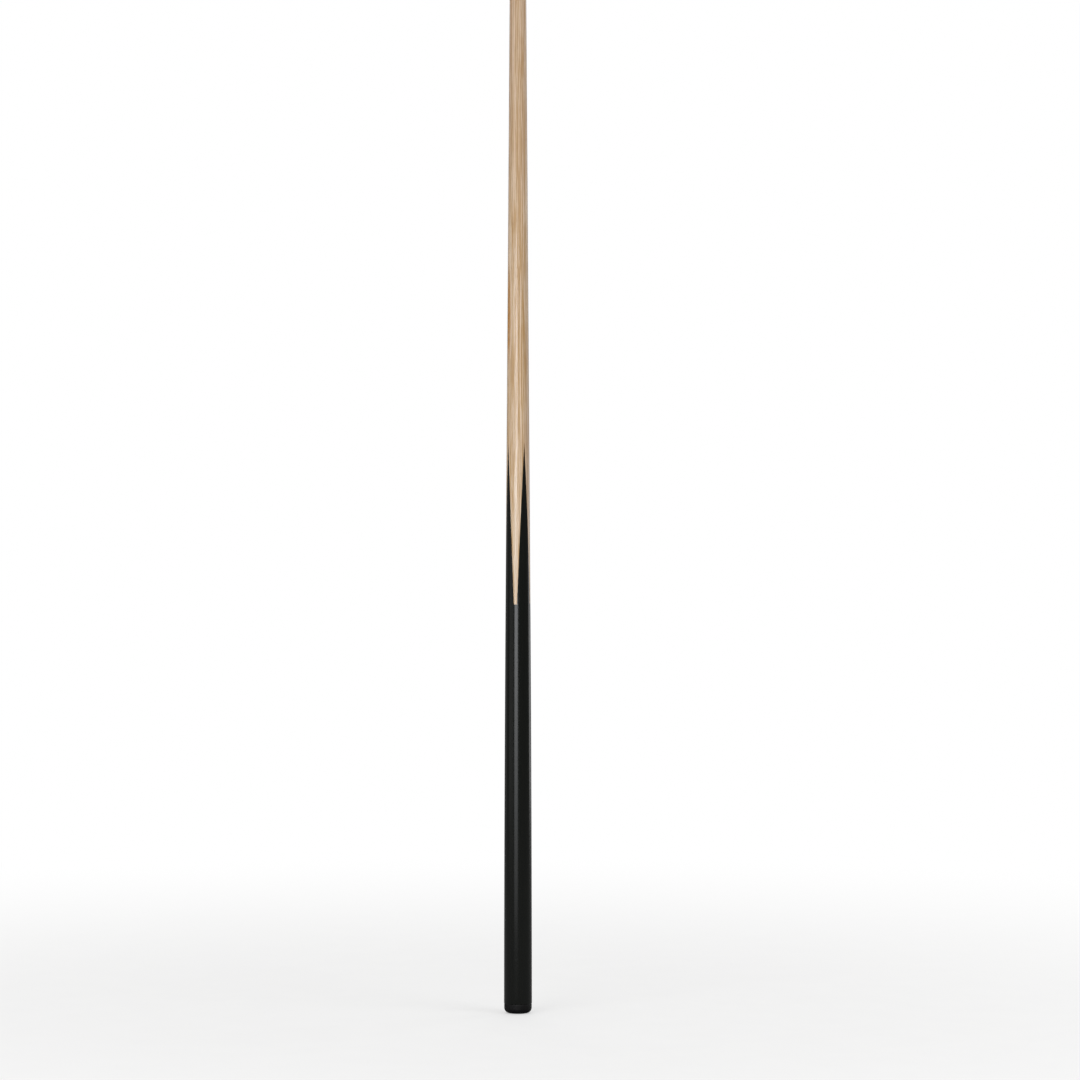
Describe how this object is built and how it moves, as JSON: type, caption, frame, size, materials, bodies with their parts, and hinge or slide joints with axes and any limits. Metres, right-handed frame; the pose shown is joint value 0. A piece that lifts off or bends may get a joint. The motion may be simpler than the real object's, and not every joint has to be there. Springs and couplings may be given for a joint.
{
  "type": "pool cue",
  "caption": "One-piece pool cue: tapered ash shaft spliced into a black hardwood butt by four points, with ferrule, domed leather tip and a screwed-on rubber bumper.",
  "frame": {"origin": "centre of the rubber bumper's flat base, at the thick end of the cue", "axes": "+Z along the cue from the butt to the tip; +X and +Y each point out through the middle of an ash tongue of the splice"},
  "size_m": [0.029, 0.029, 1.448],
  "materials": {
    "leather_tip": "matte",
    "tip_pad": "matte",
    "ferrule": "satin",
    "shaft": "satin",
    "butt": "satin",
    "weight_rod": "satin",
    "bore_plug": "matte",
    "bumper": "matte",
    "bumper_washer": "satin",
    "bumper_screw": "gloss"
  },
  "bodies": {
    "cue": {"leather_tip": "leather_tip", "tip_pad": "tip_pad", "ferrule": "ferrule", "shaft": "shaft", "butt": "butt", "weight_rod": "weight_rod", "bore_plug": "bore_plug"},
    "bumper": {"bumper": "bumper", "bumper_washer": "bumper_washer"},
    "bumper_screw": {"bumper_screw": "bumper_screw"}
  },
  "joints": [
    {"name": "bumper_draw", "type": "slide", "parent": "cue", "child": "bumper", "axis": [0, 0, -1], "range_m": [0, 0.0252]},
    {"name": "screw_turn", "type": "hinge", "parent": "bumper", "child": "bumper_screw", "pos_m": [0, 0, 0.0048], "axis": [0, 0, -1], "range_deg": [0, 5040]}
  ],
  "couplings": [
    {"joint": "screw_turn", "follows": "bumper_draw", "rad_per_m": 3490.7}
  ]
}
